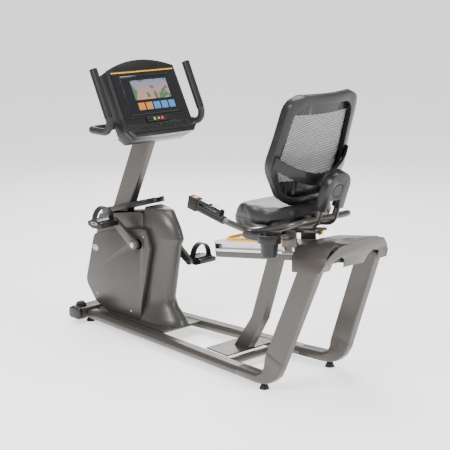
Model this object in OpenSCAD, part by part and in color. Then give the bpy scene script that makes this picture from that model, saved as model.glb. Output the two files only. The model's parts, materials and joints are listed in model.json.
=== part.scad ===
// Recumbent exercise bike, millimetres.
// +X runs from the pedals back to the seat, +Y to the rider's right, +Z up.
// The origin is on the floor, under the middle of the bike's length and width.

/* [Overall] */
// Overall length, front stabiliser to the back of the rear cover
overall_l = 1772; // [1500:1:2130]
// Distance from the front end back to the crank axle
crank_setback = 422; // [400:1:520]
// Distance from the rear end forward to the rear feet
foot_setback = 370; // [340:1:440]

/* [Base frame] */
// Half of the distance between the base rails, at the stabiliser
rail_half_front = 121; // [110:1:150]
// Half of the distance between the rear feet
rail_half_rear = 213; // [190:1:255]
// Width of a base rail
base_w = 75; // [60:1:90]
// Height of a base rail
base_h = 45; // [38:1:54]
// Height of the base rails above the floor
base_clear = 23; // [18:1:28]
// Wall of the steel tubes
tube_wall = 2.5; // [2:0.1:4]
// Depth of the rear legs, seen from the side
leg_d = 102; // [85:1:122]
// Depth of the seat post, seen from the side
post_d = 70; // [60:1:84]
// Thickness of mast, post and legs, across the bike
flat_t = 45; // [38:1:54]
// Corner radius of mast and legs
flat_r = 9; // [4:0.5:14]
// Lean of the rear legs
leg_lean = 22; // [18:1:26]
// Half of the distance between the tops of the rear legs
leg_half_top = 180; // [165:1:200]
// Diameter of a levelling foot
foot_d = 46; // [38:1:55]

/* [Seat rail] */
// Rise of the seat rail towards the back, degrees
rail_tilt = 8.2; // [5:0.1:10]
// Height of the front end of the rail beam
rail_front_z = 476; // [420:1:560]
// Length of the seat rail
rail_l = 780; // [690:1:970]
// Width of the seat rail
rail_w = 110; // [95:1:132]
// Height of the steel beam under the rail
beam_h = 26; // [22:1:32]
// Height of the aluminium track
track_h = 50; // [44:1:60]
// Diameter of a seat roller
roller_d = 24; // [20:1:26]
// Place of the carriage along the rail
seat_u = 471; // [440:1:480]

/* [Drive] */
// Height of the crank axle
crank_z = 455; // [410:1:480]
// Crank length, axle to pedal
crank_l = 175; // [150:1:185]
// Angle of the left crank above the forward direction
crank_angle = 33.3; // [0:0.1:60]
// Distance of each crank's inner face from the centre plane
crank_y = 104; // [100:1:124]
// Diameter of the crank axle
axle_d = 20; // [17:0.5:24]
// Diameter of the drive pulley
pulley_d = 260; // [220:1:300]
// Diameter of the flywheel
flywheel_d = 200; // [170:1:240]
// Half width of the drive casing
casing_half = 90; // [84:1:96]
// Diameter of a pedal spindle
spindle_d = 14; // [12:0.5:16]

/* [Console] */
// Lean of the console mast
mast_lean = 25; // [20:1:29]
// Depth of the console mast, seen from the side
mast_d = 112; // [95:1:125]
// Height of the lower edge of the screen glass
console_z = 1085; // [1000:1:1200]
// Lean of the console face away from the rider
face_lean = 27.5; // [20:0.5:35]
// Half width of the console
console_half = 212; // [180:1:240]
// Height of the screen glass
glass_h = 217; // [180:1:240]
// Diameter of the console handlebar grips
bar_d = 38; // [32:1:42]
// Half of the distance between the console grips
bar_half = 289; // [265:1:340]

/* [Seat] */
// Length of the cushion
cushion_l = 400; // [350:1:440]
// Half width of the cushion
cushion_half = 214; // [190:1:235]
// Height of the cushion's lowest line above the rail beam
cushion_w = 166; // [160:1:180]
// Thickness of the cushion in its middle
cushion_t = 70; // [60:1:80]
// Height of the backrest frame
back_h = 495; // [420:1:590]
// Half width of the backrest frame
back_half = 238; // [200:1:250]
// Lean of the backrest from the carriage's own upright
back_lean = 25; // [21:1:28]
// Diameter of the seat tubes
seat_tube_d = 28; // [28:1:36]
// Outside diameter of the cup holder's rim
cup_d = 102; // [90:1:106]

/* [Hidden] */
$fn = 48;
gap = 0.4;                  // clearance between parts that move
rub = 0.05;                 // radial running clearance of a shaft in its hole
steel = [0.36, 0.34, 0.325];
dark = [0.13, 0.13, 0.135];
grey = [0.27, 0.27, 0.275];
silver = [0.8, 0.8, 0.8];
yellow = [0.85, 0.6, 0.1];

x_front = -overall_l / 2;
crank_x = x_front + crank_setback;
foot_x = overall_l / 2 - foot_setback;
stab_x = x_front + 52;
base_z = base_clear + base_h / 2;
base_top = base_clear + base_h;
seam_x = foot_x - 150;
splay = atan((rail_half_rear - rail_half_front) / (foot_x - stab_x));
function rail_y(x) = rail_half_front + (x - stab_x) * tan(splay);

rail_x = foot_x - 463;      // front end of the seat rail
post_lean = 18;
seat_half_plate = rail_w / 2 + 3;

// ---------- helpers ----------

function unit(v) = v / norm(v);
function flat(a) = [for (row = a) for (p = row) p];
// Outline with each corner rounded: c is a list of [x, y, radius].
function rounded(c, steps = 5) = flat([for (i = [0 : len(c) - 1])
    let (p = [c[i][0], c[i][1]],
         a = c[(i + len(c) - 1) % len(c)],
         b = c[(i + 1) % len(c)],
         u = unit([a[0], a[1]] - p),
         v = unit([b[0], b[1]] - p),
         half = acos(max(-1, min(1, u * v))) / 2,
         reach = c[i][2] / tan(half),
         centre = p + unit(u + v) * c[i][2] / sin(half),
         s = p + u * reach - centre,
         e = p + v * reach - centre,
         turn = 180 - 2 * half,
         side = s[0] * e[1] - s[1] * e[0] > 0 ? 1 : -1)
    c[i][2] == 0 ? [p] : [for (k = [0 : steps])
        let (w = side * turn * k / steps)
        centre + [s[0] * cos(w) - s[1] * sin(w), s[0] * sin(w) + s[1] * cos(w)]]]);

module placed(o, x, y, z) {
    multmatrix([[x[0], y[0], z[0], o[0]], [x[1], y[1], z[1], o[1]], [x[2], y[2], z[2], o[2]], [0, 0, 0, 1]])
        children();
}
// Round bar from a to b.
module rod(a, b, d) {
    z = unit(b - a);
    x = unit(cross(abs(z[2]) < 0.9 ? [0, 0, 1] : [1, 0, 0], z));
    placed(a, x, cross(z, x), z) cylinder(d = d, h = norm(b - a));
}
// Points along the bend of radius r at corner p, coming from a and leaving to c.
function bend_points(a, p, c, r, steps = 8) = let (
    u = unit(a - p), v = unit(c - p), half = acos(u * v) / 2, turn = 180 - 2 * half,
    centre = p + unit(u + v) * r / sin(half), s = p + u * r / tan(half) - centre,
    e = p + v * r / tan(half) - centre, q = (e - s * cos(turn)) / sin(turn))
    [for (k = [0 : steps]) centre + s * cos(turn * k / steps) + q * sin(turn * k / steps)];
// A centre line through the points p, with the bend radii r at its inner points.
function centre_line(p, r) = concat([p[0]],
    flat([for (i = [1 : len(p) - 2]) bend_points(p[i - 1], p[i], p[i + 1], r[i - 1])]), [p[len(p) - 1]]);
function heading(c, i) = unit((i < len(c) - 1 ? unit(c[i + 1] - c[i]) : [0, 0, 0])
    + (i > 0 ? unit(c[i] - c[i - 1]) : [0, 0, 0]));
// Carries the side vector n along the centre line without twist.
function carried(c, n, i = 0) = i == len(c) ? [] : let (t = heading(c, i), m = unit(n - t * (n * t)))
    concat([m], carried(c, m, i + 1));
function rings(c, side, d, sides) = flat([for (i = [0 : len(c) - 1]) let (w = cross(heading(c, i), side[i]))
    [for (k = [0 : sides - 1]) c[i] + d / 2 * (side[i] * cos(360 * k / sides) + w * sin(360 * k / sides))]]);
// A round tube of outside diameter d and inside diameter bore along that line.
module bent_tube(p, r, d, bore, sides = 20) {
    c = centre_line(p, r);
    n = len(c);
    t = heading(c, 0);
    side = carried(c, abs(t[1]) < 0.9 ? [0, 1, 0] : [1, 0, 0]);
    last = (n - 1) * sides;
    inner = n * sides;
    polyhedron(concat(rings(c, side, d, sides), rings(c, side, bore, sides)), concat(
        [for (i = [0 : n - 2], k = [0 : sides - 1]) let (m = (k + 1) % sides, b = i * sides)
            [b + k, b + sides + k, b + sides + m, b + m]],
        [for (i = [0 : n - 2], k = [0 : sides - 1]) let (m = (k + 1) % sides, b = inner + i * sides)
            [b + k, b + m, b + sides + m, b + sides + k]],
        [for (k = [0 : sides - 1]) let (m = (k + 1) % sides) [k, m, inner + m, inner + k]],
        [for (k = [0 : sides - 1]) let (m = (k + 1) % sides)
            [last + k, inner + last + k, inner + last + m, last + m]]));
}
module rounded_rect(w, h, r) {
    square([w - 2 * r, h], center = true);
    square([w, h - 2 * r], center = true);
    for (i = [-1, 1], j = [-1, 1]) translate([i * (w / 2 - r), j * (h / 2 - r)]) circle(r = r);
}
module flat_profile(d, t = flat_t) {
    difference() {
        rounded_rect(d, t, flat_r);
        rounded_rect(d - 2 * tube_wall, t - 2 * tube_wall, flat_r - tube_wall);
    }
}
// Extrudes an outline in the side view, x and z, from y = a to y = b.
module side_plate(outline, a, b) {
    translate([0, b, 0]) rotate([90, 0, 0]) linear_extrude(b - a) polygon(outline);
}
module both_sides() {
    children();
    mirror([0, 1, 0]) children();
}
module on_rail() translate([rail_x, 0, rail_front_z]) rotate([0, -rail_tilt, 0]) children();
module on_seat() on_rail() translate([seat_u, 0, 0]) children();
module on_face() translate([face_x, 0, console_z]) rotate([0, -face_lean, 0]) children();
module at_crank() translate([crank_x, 0, crank_z]) children();

// ---------- base frame ----------

stab_d = 92;
stab_h = 58;
stab_half = 190;
cap_t = 18;
module base_rails() color(steel) both_sides()
    translate([stab_x + stab_d / 2 - 14, rail_y(stab_x + stab_d / 2 - 14), base_z])
        rotate([0, 0, splay]) rotate([90, 0, 90])
            linear_extrude((seam_x - stab_x - stab_d / 2 + 14) / cos(splay)) difference() {
                rounded_rect(base_w, base_h, base_h / 2 - 1);
                rounded_rect(base_w - 2 * tube_wall, base_h - 2 * tube_wall, base_h / 2 - 1 - tube_wall);
            }

module front_stabiliser() color(steel) {
    stabiliser_tube();
    both_sides() for (y = [wheel_y - 2, wheel_y + wheel_w + 6]) difference() {
        translate([stab_x, y, base_clear + stab_h / 2]) rotate([90, 0, 0])
            linear_extrude(4) rounded_rect(stab_d - 2 * tube_wall + 0.4, stab_h - 2 * tube_wall + 0.4, 12);
        rail_notch();
    }
    both_sides() translate([carry_x, wheel_y - 3, carry_z]) rotate([-90, 0, 0])
        cylinder(d = pin_d, h = wheel_w + 6);
}
module rail_notch()
    translate([stab_x + stab_d / 2 - 18, rail_y(stab_x + stab_d / 2) - base_w / 2 - 4, base_clear - gap])
    cube([34, base_w + 8, base_h + 2 * gap]);
module stabiliser_tube() difference() {
    translate([stab_x, stab_half, base_clear + stab_h / 2]) rotate([90, 0, 0])
        linear_extrude(2 * stab_half) difference() {
            rounded_rect(stab_d, stab_h, 14);
            rounded_rect(stab_d - 2 * tube_wall, stab_h - 2 * tube_wall, 14 - tube_wall);
        }
    both_sides() translate([carry_x - wheel_r - 4, wheel_y - 2, base_clear - 1])
        cube([2 * wheel_r + 8, wheel_w + 4, stab_h + 2]);
    both_sides() rail_notch();
}

module stabiliser_caps() color(dark) both_sides()
    translate([stab_x, stab_half + cap_t, base_clear + stab_h / 2]) rotate([90, 0, 0])
        linear_extrude(cap_t) rounded_rect(stab_d, stab_h, 20);

deck_back = crank_x + 216;
deck_front = crank_x - 250;
deck_t = 12;
module front_deck() color(steel) {
    inner = function (x) rail_y(x) - base_w / 2 - 1;
    translate([0, 0, base_top - deck_t]) linear_extrude(deck_t)
        polygon([[deck_front, -inner(deck_front)], [deck_back, -inner(deck_back)],
            [deck_back, inner(deck_back)], [deck_front, inner(deck_front)]]);
}

cross_front = foot_x - 440;
cross_back = foot_x - 290;
module rear_cross_plate() color(steel) {
    inner = function (x) rail_y(x) - base_w / 2 - 1;
    difference() {
        translate([0, 0, base_top - 6]) linear_extrude(6)
            polygon([[cross_front, -inner(cross_front)], [cross_back, -inner(cross_back)],
                [cross_back, inner(cross_back)], [cross_front, inner(cross_front)]]);
        for (x = [cross_front + 22, cross_back - 16], y = [-90, 90])
            translate([x, y, base_top - 7]) cylinder(d = 9, h = 8);
    }
    brace_x = cross_back + 26;
    translate([brace_x, inner(brace_x) - 2, base_z]) rotate([90, 0, 0]) difference() {
        cylinder(d = 34, h = 2 * inner(brace_x) - 4);
        translate([0, 0, -1]) cylinder(d = 34 - 2 * tube_wall, h = 2 * inner(brace_x));
    }
}

bend_r = 134;               // outer radius of the bend under a rear leg
bend_turn = 90 - leg_lean;
heel_x = foot_x + 78;       // where the outer lines of rail and leg would meet
arc_x = heel_x - bend_r * tan(bend_turn / 2);
casting_up = 36;            // straight length of a casting above its bend
// One slice of a casting, its outer edge at z = 0: share 0 is the rail's section, 1 the leg's.
module casting_slice(share) {
    d = base_h + (leg_d - base_h) * share;
    t = base_w + (flat_t - base_w) * share;
    r = base_h / 2 - 2 + (flat_r - base_h / 2 + 2) * share;
    translate([0, 0, d / 2]) rotate([90, 0, 90]) linear_extrude(1) union() {
        square([t - 2 * r, d], center = true);
        square([t, d - 2 * r], center = true);
        for (i = [-1, 1], j = [-1, 1]) translate([i * (t / 2 - r), j * (d / 2 - r)]) circle(r = r, $fn = 24);
    }
}
module bend_slice(turn, share, back = 0) {
    translate([arc_x, rail_half_rear, base_clear + bend_r]) rotate([0, -turn, 0])
        translate([-back, 0, -bend_r]) casting_slice(share);
}
leg_outer = [arc_x + bend_r * sin(bend_turn), base_clear + bend_r * (1 - cos(bend_turn))];
leg_a = [leg_outer[0] + casting_up * sin(leg_lean) - leg_d / 2 * cos(leg_lean), rail_half_rear,
    leg_outer[1] + casting_up * cos(leg_lean) + leg_d / 2 * sin(leg_lean)];
arm_u = rail_l - 52;         // middle of the leg's arm along the rail
arm_w = 10;                 // height of the arm above the beam's underside
arm_h = 50;
function rail_point(u, w) = [rail_x + u * cos(rail_tilt) - w * sin(rail_tilt),
    rail_front_z + u * sin(rail_tilt) + w * cos(rail_tilt)];
arm_mid = rail_point(arm_u, arm_w + arm_h / 2);
leg_b = [arm_mid[0], leg_half_top, arm_mid[1]];
leg_z = unit(leg_b - leg_a);
leg_y = unit([0, 1, 0] - leg_z * leg_z[1]);
module on_leg() placed(leg_a, cross(leg_y, leg_z), leg_y, leg_z) children();
module casting() {
    hull() {
        translate([seam_x, rail_y(seam_x), base_clear]) rotate([0, 0, splay]) casting_slice(0);
        bend_slice(0, 0.06, 8);
    }
    shares = [0.06, 0.3, 0.62, 0.9];
    for (i = [0 : 2]) hull() {
        bend_slice(bend_turn * i / 4, shares[i], i == 0 ? 8 : 0);
        bend_slice(bend_turn * (i + 1) / 4, shares[i + 1]);
    }
    hull() {
        bend_slice(bend_turn * 3 / 4, shares[3]);
        on_leg() rotate([0, -90, 0]) translate([-casting_up + 4, 0, -leg_d / 2]) casting_slice(1);
    }
    hull() for (z = [-casting_up + 4, -1.4])
        on_leg() rotate([0, -90, 0]) translate([z, 0, -leg_d / 2]) casting_slice(1);
}
module corner_castings() color(steel) both_sides() casting();

// Everything below the cover, and the space inside it.
module under_cover() on_rail() {
    translate([0, -500, -1500]) cube([1200, 1000, 1500 + cover_low + 0.5]);
    translate([cover_front - 100, 0, 0]) rotate([90, 0, 90]) linear_extrude(500) polygon(cover_outline(-gap));
}
module hoop_legs() color(steel) both_sides() {
    intersection() {
        difference() {
            on_leg() linear_extrude(norm(leg_b - leg_a) + 30) flat_profile(leg_d);
            on_rail() translate([0, 0, arm_w + arm_h - 6]) cube([2000, 1000, 500]);
        }
        under_cover();
    }
    difference() {
        on_rail() translate([arm_u - leg_d / 2, rail_w / 2 + 1, arm_w])
            cube([leg_d, leg_half_top - flat_t / 2 + 8 - rail_w / 2 - 1, arm_h]);
        on_leg() translate([-leg_d, -flat_t / 2 + 0.5, -100]) cube([2 * leg_d, flat_t, 1500]);
    }
}

cover_t = 3.5;
cover_front = arm_u - 128;  // the cover's reach along the rail
cover_back = arm_u + 122;
cover_top = beam_h + track_h + 11;
cover_low = -16;
function cover_outline(e) = let (y = leg_half_top + flat_t / 2 + 2 + e, top = cover_top + e) rounded([
    [-y - 6, cover_low, 0], [-y + 16, 42, 45], [-y + 66, top - 4, 50], [0, top + 2, 0],
    [y - 66, top - 4, 50], [y - 16, 42, 45], [y + 6, cover_low, 0]]);
// The plate that closes the cover at the back: it arches between the legs, with a lobe over the rail's end.
module cover_plate() on_rail() intersection() {
    translate([cover_front, 0, 0]) rotate([90, 0, 90]) linear_extrude(400) difference() {
        polygon(cover_outline(0.2));
        for (s = [-1, 1]) polygon([[s * (leg_half_top - 28), cover_low - 1], [s * (leg_half_top - 34), 22],
            [s * (rail_w / 2 + 44), 34], [s * (rail_w / 2 + 20), 18], [s * (rail_w / 2 + 8), cover_low - 1]]);
    }
    side_plate([[cover_back - 78, cover_low - 0.5], [cover_back - 73, cover_low - 0.5],
        [cover_back - 6, cover_top + 12], [cover_back - 11, cover_top + 12]], -400, 400);
}
module hoop_cover() color(steel) {
    cover_shell();
    cover_plate();
}
module cover_shell() on_rail() intersection() {
    difference() {
        translate([cover_front, 0, 0]) rotate([90, 0, 90]) linear_extrude(cover_back - cover_front)
            polygon(cover_outline(cover_t));
        translate([cover_front - 1, 0, 0]) rotate([90, 0, 90]) linear_extrude(cover_back - cover_front + 2)
            polygon(cover_outline(0));
    }
    side_plate([[cover_front + 22, cover_low - 1], [cover_back - 72, cover_low - 1], [cover_back + 8, cover_top + 20],
        [cover_front - 8, cover_top + 20]], -400, 400);
    translate([0, 0, -100]) linear_extrude(400) polygon(rounded([
        [cover_front - 1, -400, 0], [cover_back - 48, -400, 0],
        [cover_back - 48, -120, 60], [cover_back + 1, -80, 60],
        [cover_back + 1, 80, 60], [cover_back - 48, 120, 60],
        [cover_back - 48, 400, 0], [cover_front - 1, 400, 0]]));
}

foot_y = rail_half_rear;
foot_h = base_clear - 4;
module levelling_feet() color(silver) {
    for (p = [[foot_x, foot_y], [foot_x, -foot_y], [stab_x + 22, rail_half_front], [stab_x + 22, -rail_half_front]])
        translate([p[0], p[1], 0]) {
            cylinder(d1 = foot_d, d2 = foot_d * 0.62, h = foot_h);
            cylinder(d = 20, h = base_clear);
        }
}

// ---------- seat rail and its post ----------

post_top_u = 328;           // where the post meets the rail
kink_z = 225;
foot_shift = 0.62;          // half length of the post's foot, in post depths
module seat_post() color(steel) {
    top = rail_point(post_top_u, 0);
    kink_x = top[0] - (top[1] - kink_z) * tan(post_lean);
    half = post_d / 2;
    foot = [kink_x - (kink_z - base_top) * tan(post_lean + 15), base_top];
    low = post_d * foot_shift;
    outline = rounded([[foot[0] - low, foot[1], 0], [kink_x - half, kink_z, 90],
        [top[0] - half, top[1] - 6, 0], [top[0] + half, top[1] + 4, 0],
        [kink_x + half, kink_z, 90], [foot[0] + low, foot[1], 0]]);
    difference() {
        side_plate(outline, -flat_t / 2, flat_t / 2);
        side_plate([[foot[0] - low + 4, foot[1] - 1], [kink_x - half + 4, kink_z],
            [top[0] - half + 4, top[1] - 16], [top[0] + half - 4, top[1] - 8],
            [kink_x + half - 4, kink_z], [foot[0] + low - 4, foot[1] - 1]],
            -flat_t / 2 + tube_wall, flat_t / 2 - tube_wall);
        on_rail() translate([0, -rail_w / 2, 0]) cube([rail_l, rail_w, 60]);
    }
}

module rail_beam() color(steel) on_rail() difference() {
    translate([0, 0, beam_h / 2]) rotate([90, 0, 90]) linear_extrude(rail_l) rounded_rect(rail_w, beam_h, 3);
    translate([-1, 0, beam_h / 2]) rotate([90, 0, 90]) linear_extrude(rail_l + 2)
        rounded_rect(rail_w - 8, beam_h - 8, 1);
}

groove_d = 20;
groove_h = roller_d + 2 * gap;
groove_w = beam_h + track_h / 2;
module seat_rail() color(silver) on_rail() difference() {
    translate([0, 0, beam_h + track_h / 2]) rotate([90, 0, 90]) linear_extrude(rail_l)
        rounded_rect(rail_w, track_h, 2);
    both_sides() translate([-1, rail_w / 2 - groove_d, groove_w - groove_h / 2])
        cube([rail_l + 2, groove_d + 1, groove_h]);
    for (y = [-17, 17]) translate([-1, y, groove_w]) rotate([90, 0, 90])
        linear_extrude(rail_l + 2) square([28, track_h - 12], center = true);
}

module rail_end_cap() color(dark) on_rail() translate([-5, 0, (beam_h + track_h) / 2]) rotate([90, 0, 90])
    linear_extrude(5) rounded_rect(rail_w, beam_h + track_h, 4);

// ---------- drive ----------

mast_x = crank_x - 197;     // the mast's axis at the height mast_z
mast_z = crank_z + 172;
mast_u0 = -138;             // the mast's lower end, measured along it from there
mast_top = console_z - 70;
module on_mast() translate([mast_x, 0, mast_z]) rotate([0, mast_lean, 0]) children();
module mast_hole(e) on_mast() translate([0, 0, mast_u0 - 1]) linear_extrude(940)
    square([mast_d + 2 * e, flat_t + 2 * e], center = true);
module console_mast() color(steel) on_mast()
    translate([0, 0, mast_u0]) linear_extrude((mast_top - mast_z) / cos(mast_lean) - mast_u0) flat_profile(mast_d);

floor_z = base_top - crank_z + gap;     // the deck, seen from the crank axle
// Side view of the casing's side panels, from the crank axle.
panel = rounded([[-341, -352, 20], [-420, -262, 60], [-345, -2, 40], [-137, 52, 60], [45, 82, 26],
    [84, -11, 40], [18, -300, 10], [10, floor_z, 6], [-250, floor_z, 10]]);
function inset(p, k) = [for (q = p) [-160, -150] + (q - [-160, -150]) * k];
panel_t = 26;
spine_front = 9;            // the spine starts this far behind the crank axle
module casing_side() difference() {
    at_crank() side_plate(panel, casing_half - panel_t, casing_half);
    at_crank() side_plate(inset(panel, 0.975), casing_half - panel_t - 1, casing_half - 3);
    at_crank() translate([0, casing_half - panel_t - 1, 0]) rotate([-90, 0, 0]) cylinder(d = 52, h = panel_t + 2);
    spine_body(-gap);
}
module left_casing() color(steel) mirror([0, 1, 0]) casing_side();
module right_casing() color(steel) casing_side();

core_half = casing_half - panel_t - 1;
core = rounded([[-300, -352, 20], [-405, -262, 60], [-352, 20, 40], [-334, 98, 24], [-20, 152, 30],
    [30, 140, 20], [70, 20, 20], [20, -300, 10], [20, floor_z, 0], [-300, floor_z, 0]]);
module casing_top() color(steel) difference() {
    at_crank() side_plate(core, -core_half, core_half);
    at_crank() side_plate([for (q = core) [-160, -120] + (q - [-160, -120]) * 0.97], -core_half + 4, core_half - 4);
    at_crank() translate([0, core_half + 1, 0]) rotate([90, 0, 0]) cylinder(d = 52, h = 2 * core_half + 2);
    at_crank() translate([-145, 0, floor_z]) cube([302, 2 * core_half - 8, 30], center = true);
    mast_hole(gap);
    at_crank() translate([8, -core_half - 1, -400]) cube([100, 2 * core_half + 2, 700]);
}

// Half-round plan section of the spine: depth d behind the core's back face.
module spine_slice(z, back, half) translate([0, 0, z]) linear_extrude(1)
    polygon([for (a = [-90 : 15 : 90]) [spine_front + (back - spine_front) * pow(cos(a), 0.8), half * sin(a)]]);
spine_rows = [[floor_z, 236, 92], [-354, 222, 84], [-306, 172, 66], [-259, 152, 62], [15, 206, 62],
    [42, 222, 62], [92, 200, 60], [168, 150, 54], [180, 92, 48]];
module spine_body(e) at_crank() for (i = [0 : len(spine_rows) - 2]) hull() {
    a = spine_rows[i];
    b = spine_rows[i + 1];
    spine_slice(a[0] + (i == 0 ? -e : 0), a[1] - e, a[2] - e);
    spine_slice(b[0] - (i == len(spine_rows) - 2 ? e : 0), b[1] - e, b[2] - e);
}
module casing_spine() color(steel) difference() {
    spine_body(0);
    spine_body(3);
    at_crank() translate([0, 200, 0]) rotate([90, 0, 0]) cylinder(d = 52, h = 400);
}

tray_tilt = 16;
tray_l = 385;
module on_tray() translate([mast_x + 24, 0, mast_z - 34]) rotate([0, -tray_tilt, 0]) children();
module tray_outline(e) {
    h = 84 - e;
    polygon(concat([for (a = [-90 : 10 : 90]) [tray_l - 150 - h + h * cos(a), h * sin(a)]],
        [[-110 + e, h], [-110 + e, -h]]));
}
module mast_tray() color(grey) difference() {
    on_tray() difference() {
        linear_extrude(26) tray_outline(0);
        translate([0, 0, 5]) linear_extrude(26) tray_outline(4);
    }
    mast_hole(gap);
}

shell_d = 68;               // bottom bracket shell
bearing_d = 47;
bearing_w = 12;
side_in = flat_t / 2 + 0.2; // the drive frame's side plates clasp the mast
side_t = 5;
shell_half = side_in + side_t;
wheel_x = crank_x - 250;    // flywheel axis
wheel_z = crank_z - 175;
shaft_d = 17;
side_outline = rounded([[-280, floor_z - gap, 0], [-20, floor_z - gap, 0], [-36, -120, 40], [44, -34, 30], [36, 44, 30],
    [-180, 62, 40], [-215, 96, 12], [-296, 84, 12], [-318, 46, 10], [-300, -60, 60], [-322, -220, 60]]);
module drive_frame() color(dark) difference() {
    union() {
        for (y = [-shell_half, side_in]) at_crank() side_plate(side_outline, y, y + side_t);
        at_crank() translate([0, shell_half, 0]) rotate([90, 0, 0]) cylinder(d = shell_d, h = 2 * shell_half);
        for (p = [[-160, floor_z + 20], [-268, floor_z + 20], [-110, -40]]) at_crank()
            translate([p[0], shell_half - 1, p[1]]) rotate([90, 0, 0]) cylinder(d = 24, h = 2 * shell_half - 2);
    }
    at_crank() side_plate(rounded([[-140, -90, 20], [-60, -110, 20], [-50, floor_z + 50, 20], [-130, floor_z + 50, 20]]),
        -100, 100);
    at_crank() translate([0, shell_half + 1, 0]) rotate([90, 0, 0]) cylinder(d = bearing_d - 4, h = 2 * shell_half + 2);
    both_sides() at_crank() translate([0, shell_half - bearing_w, 0]) rotate([-90, 0, 0])
        cylinder(d = bearing_d, h = bearing_w + 1);
    translate([wheel_x, 40, wheel_z]) rotate([90, 0, 0]) cylinder(d = shaft_d + 2 * rub, h = 80);
}
module crank_bearings() color(silver) both_sides() at_crank() translate([0, shell_half - bearing_w, 0])
    rotate([-90, 0, 0]) difference() {
        cylinder(d = bearing_d, h = bearing_w);
        translate([0, 0, -1]) cylinder(d = axle_d + 2 * rub, h = bearing_w + 2);
    }

pulley_y = shell_half + 2;
pulley_w = 14;
small_d = 44;
module drive_pulley() color(dark) at_crank() translate([0, pulley_y + pulley_w, 0]) rotate([90, 0, 0]) difference() {
    cylinder(d = pulley_d, h = pulley_w, $fn = 96);
    translate([0, 0, -1]) cylinder(d = axle_d, h = pulley_w + 2);
    for (a = [0 : 60 : 300]) rotate([0, 0, a]) translate([pulley_d * 0.29, 0, -1])
        cylinder(d = pulley_d * 0.2, h = pulley_w + 2);
}
belt_t = 3;
module belt_loop(e) {
    d = [wheel_x - crank_x, wheel_z - crank_z];
    big = pulley_d / 2 + gap + e;
    small = small_d / 2 + gap + e;
    dir = atan2(d[1], d[0]);
    tilt = acos((big - small) / norm(d));
    polygon(concat(
        [for (k = [0 : 40]) let (a = dir + tilt + (360 - 2 * tilt) * k / 40) big * [cos(a), sin(a)]],
        [for (k = [0 : 16]) let (a = dir - tilt + 2 * tilt * k / 16) d + small * [cos(a), sin(a)]]));
}
module drive_belt() color(dark) at_crank() translate([0, pulley_y + pulley_w - 1, 0]) rotate([90, 0, 0])
    linear_extrude(pulley_w - 2) difference() {
        belt_loop(belt_t);
        belt_loop(0);
    }
module flywheel() color(silver) translate([wheel_x, 14, wheel_z]) rotate([90, 0, 0]) difference() {
    cylinder(d = flywheel_d, h = 28, $fn = 96);
    translate([0, 0, -1]) cylinder(d = shaft_d, h = 30);
    for (z = [-1, 20]) translate([0, 0, z]) difference() {
        cylinder(d = flywheel_d - 44, h = 9);
        translate([0, 0, -1]) cylinder(d = 44, h = 11);
    }
}
module flywheel_shaft() color(silver) {
    translate([wheel_x, pulley_y + pulley_w + 4, wheel_z]) rotate([90, 0, 0])
        cylinder(d = shaft_d, h = pulley_y + pulley_w + 4 + 30);
    translate([wheel_x, pulley_y + pulley_w, wheel_z]) rotate([90, 0, 0]) cylinder(d = small_d, h = pulley_w);
}
axle_half = crank_y + 24;
module crank_axle() color(silver) at_crank() translate([0, axle_half - 6, 0]) rotate([90, 0, 0])
    cylinder(d = axle_d, h = 2 * axle_half - 12);

// A crank along its own +X, its inner face at y = 0 and its outer face at y = 20.
module crank_arm() difference() {
    union() {
        side_plate(concat([for (a = [90 : 15 : 270]) 25 * [cos(a), sin(a)]],
            [for (a = [-75 : 15 : 75]) [crank_l, 0] + 17 * [cos(a), sin(a)]]), 0, 20);
        translate([0, 24, 0]) rotate([90, 0, 0]) cylinder(d = 44, h = 24);
    }
    translate([0, 18, 0]) rotate([90, 0, 0]) cylinder(d = axle_d, h = 30);
    translate([0, 25, 0]) rotate([90, 0, 0]) cylinder(d = 14, h = 8);
    translate([crank_l, 21, 0]) rotate([90, 0, 0]) cylinder(d = spindle_d, h = 22);
}
module left_crank() color(steel) at_crank() mirror([0, 1, 0]) rotate([0, 180 + crank_angle, 0])
    translate([0, crank_y, 0]) crank_arm();
module right_crank() color(steel) at_crank() rotate([0, crank_angle, 0]) translate([0, crank_y, 0]) crank_arm();

pedal_at = crank_l * [cos(crank_angle), -sin(crank_angle)];
pedal_in = crank_y + 30;    // inner face of a pedal
pedal_w = 108;
module pedal_spindles() color(silver) for (s = [-1, 1]) at_crank()
    translate([s * pedal_at[0], s * (crank_y + 1), s * pedal_at[1]]) rotate([-90 * s, 0, 0])
        cylinder(d = spindle_d, h = pedal_in - crank_y - 1 + pedal_w * 0.9);

// A pedal with its spindle's axis along Y, reaching out to +Y from y = 0.
pedal_l = 108;
module pedal_body() difference() {
    union() {
        side_plate(rounded([[-54, -8, 6], [-54, 13, 6], [54, 13, 6], [54, -8, 6], [22, -20, 6], [-22, -20, 6]], 3),
            strap_t - 0.9, pedal_w - strap_t + 0.9);
        side_plate(rounded([[-30, 10, 0], [-34, 18, 0], [34, 18, 0], [30, 10, 0]]), 6, pedal_w - 6);
    }
    translate([0, -1, 0]) rotate([-90, 0, 0]) cylinder(d = spindle_d + 2 * rub, h = pedal_w * 0.9 + 2);
    for (x = [-33, 33]) translate([x, pedal_w / 2, 0]) cube([20, pedal_w - 28, 60], center = true);
}
strap_r = 52;
strap_t = 3;
strap_w = 36;
module pedal_strap() translate([-strap_w / 2, pedal_w / 2, 0]) rotate([90, 0, 90]) linear_extrude(strap_w) difference() {
    union() {
        translate([0, 14]) scale([1, 1.25]) circle(r = strap_r + strap_t);
        translate([-strap_r - strap_t, -6]) square([2 * (strap_r + strap_t), 20]);
    }
    translate([0, 14]) scale([1, 1.25]) circle(r = strap_r);
    translate([-strap_r, -10]) square([2 * strap_r, 24]);
    translate([-100, -60]) square([200, 54]);
}
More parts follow.
